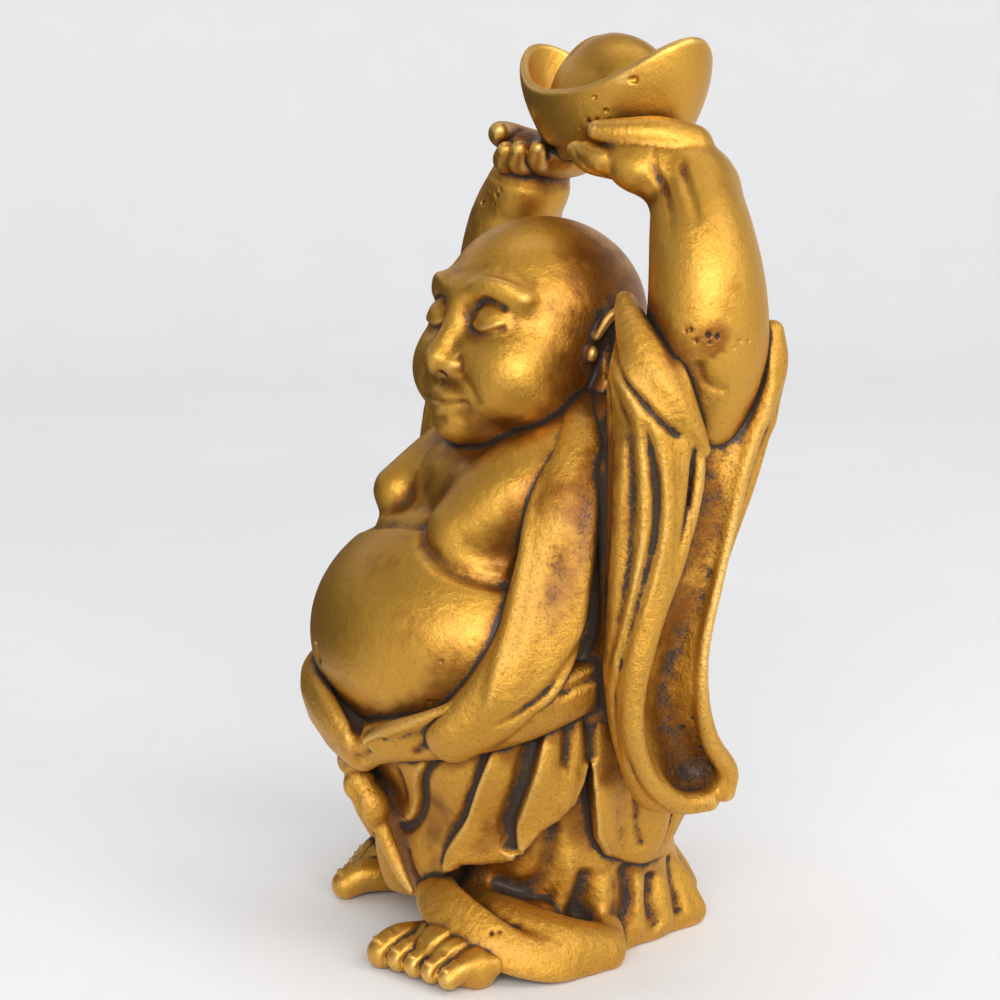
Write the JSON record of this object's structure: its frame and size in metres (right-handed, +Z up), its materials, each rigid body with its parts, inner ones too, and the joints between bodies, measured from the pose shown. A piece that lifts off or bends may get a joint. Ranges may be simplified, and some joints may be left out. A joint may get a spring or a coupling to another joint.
{
  "type": "buddha statue",
  "caption": "Standing laughing buddha statue in antique gold, both arms raised to hold a boat-shaped ingot over the head.",
  "frame": {"origin": "on the surface the statue stands on, in the middle of the base plug's lower face, under the waist", "axes": "+Z up, -Y the way the figure faces, +X the figure's own left"},
  "size_m": [0.0992, 0.0838, 0.1819],
  "materials": {
    "skin_gold": "satin antique gold paint over cast resin",
    "robe_gold": "satin antique gold paint over cast resin, darker in the folds",
    "ingot_gold": "satin antique gold paint over cast resin",
    "dowel_steel": "drawn steel pin",
    "plug_resin": "unpainted cast resin"
  },
  "bodies": {
    "root": {"torso": "skin_gold", "head": "skin_gold", "outer_robe": "robe_gold", "left_lapel": "robe_gold", "right_lapel": "robe_gold", "belly_sash": "robe_gold", "sash_knot": "robe_gold", "overskirt": "robe_gold", "underskirt": "robe_gold", "left_foot": "skin_gold", "right_foot": "skin_gold", "left_sleeve": "robe_gold", "right_sleeve": "robe_gold", "left_arm": "skin_gold", "right_arm": "skin_gold", "ingot": "ingot_gold", "neck_dowel": "dowel_steel", "left_arm_dowel": "dowel_steel", "right_arm_dowel": "dowel_steel", "ingot_pins": "dowel_steel", "waist_dowel": "dowel_steel", "foot_pins": "dowel_steel", "base_plug": "plug_resin"}
  },
  "joints": []
}
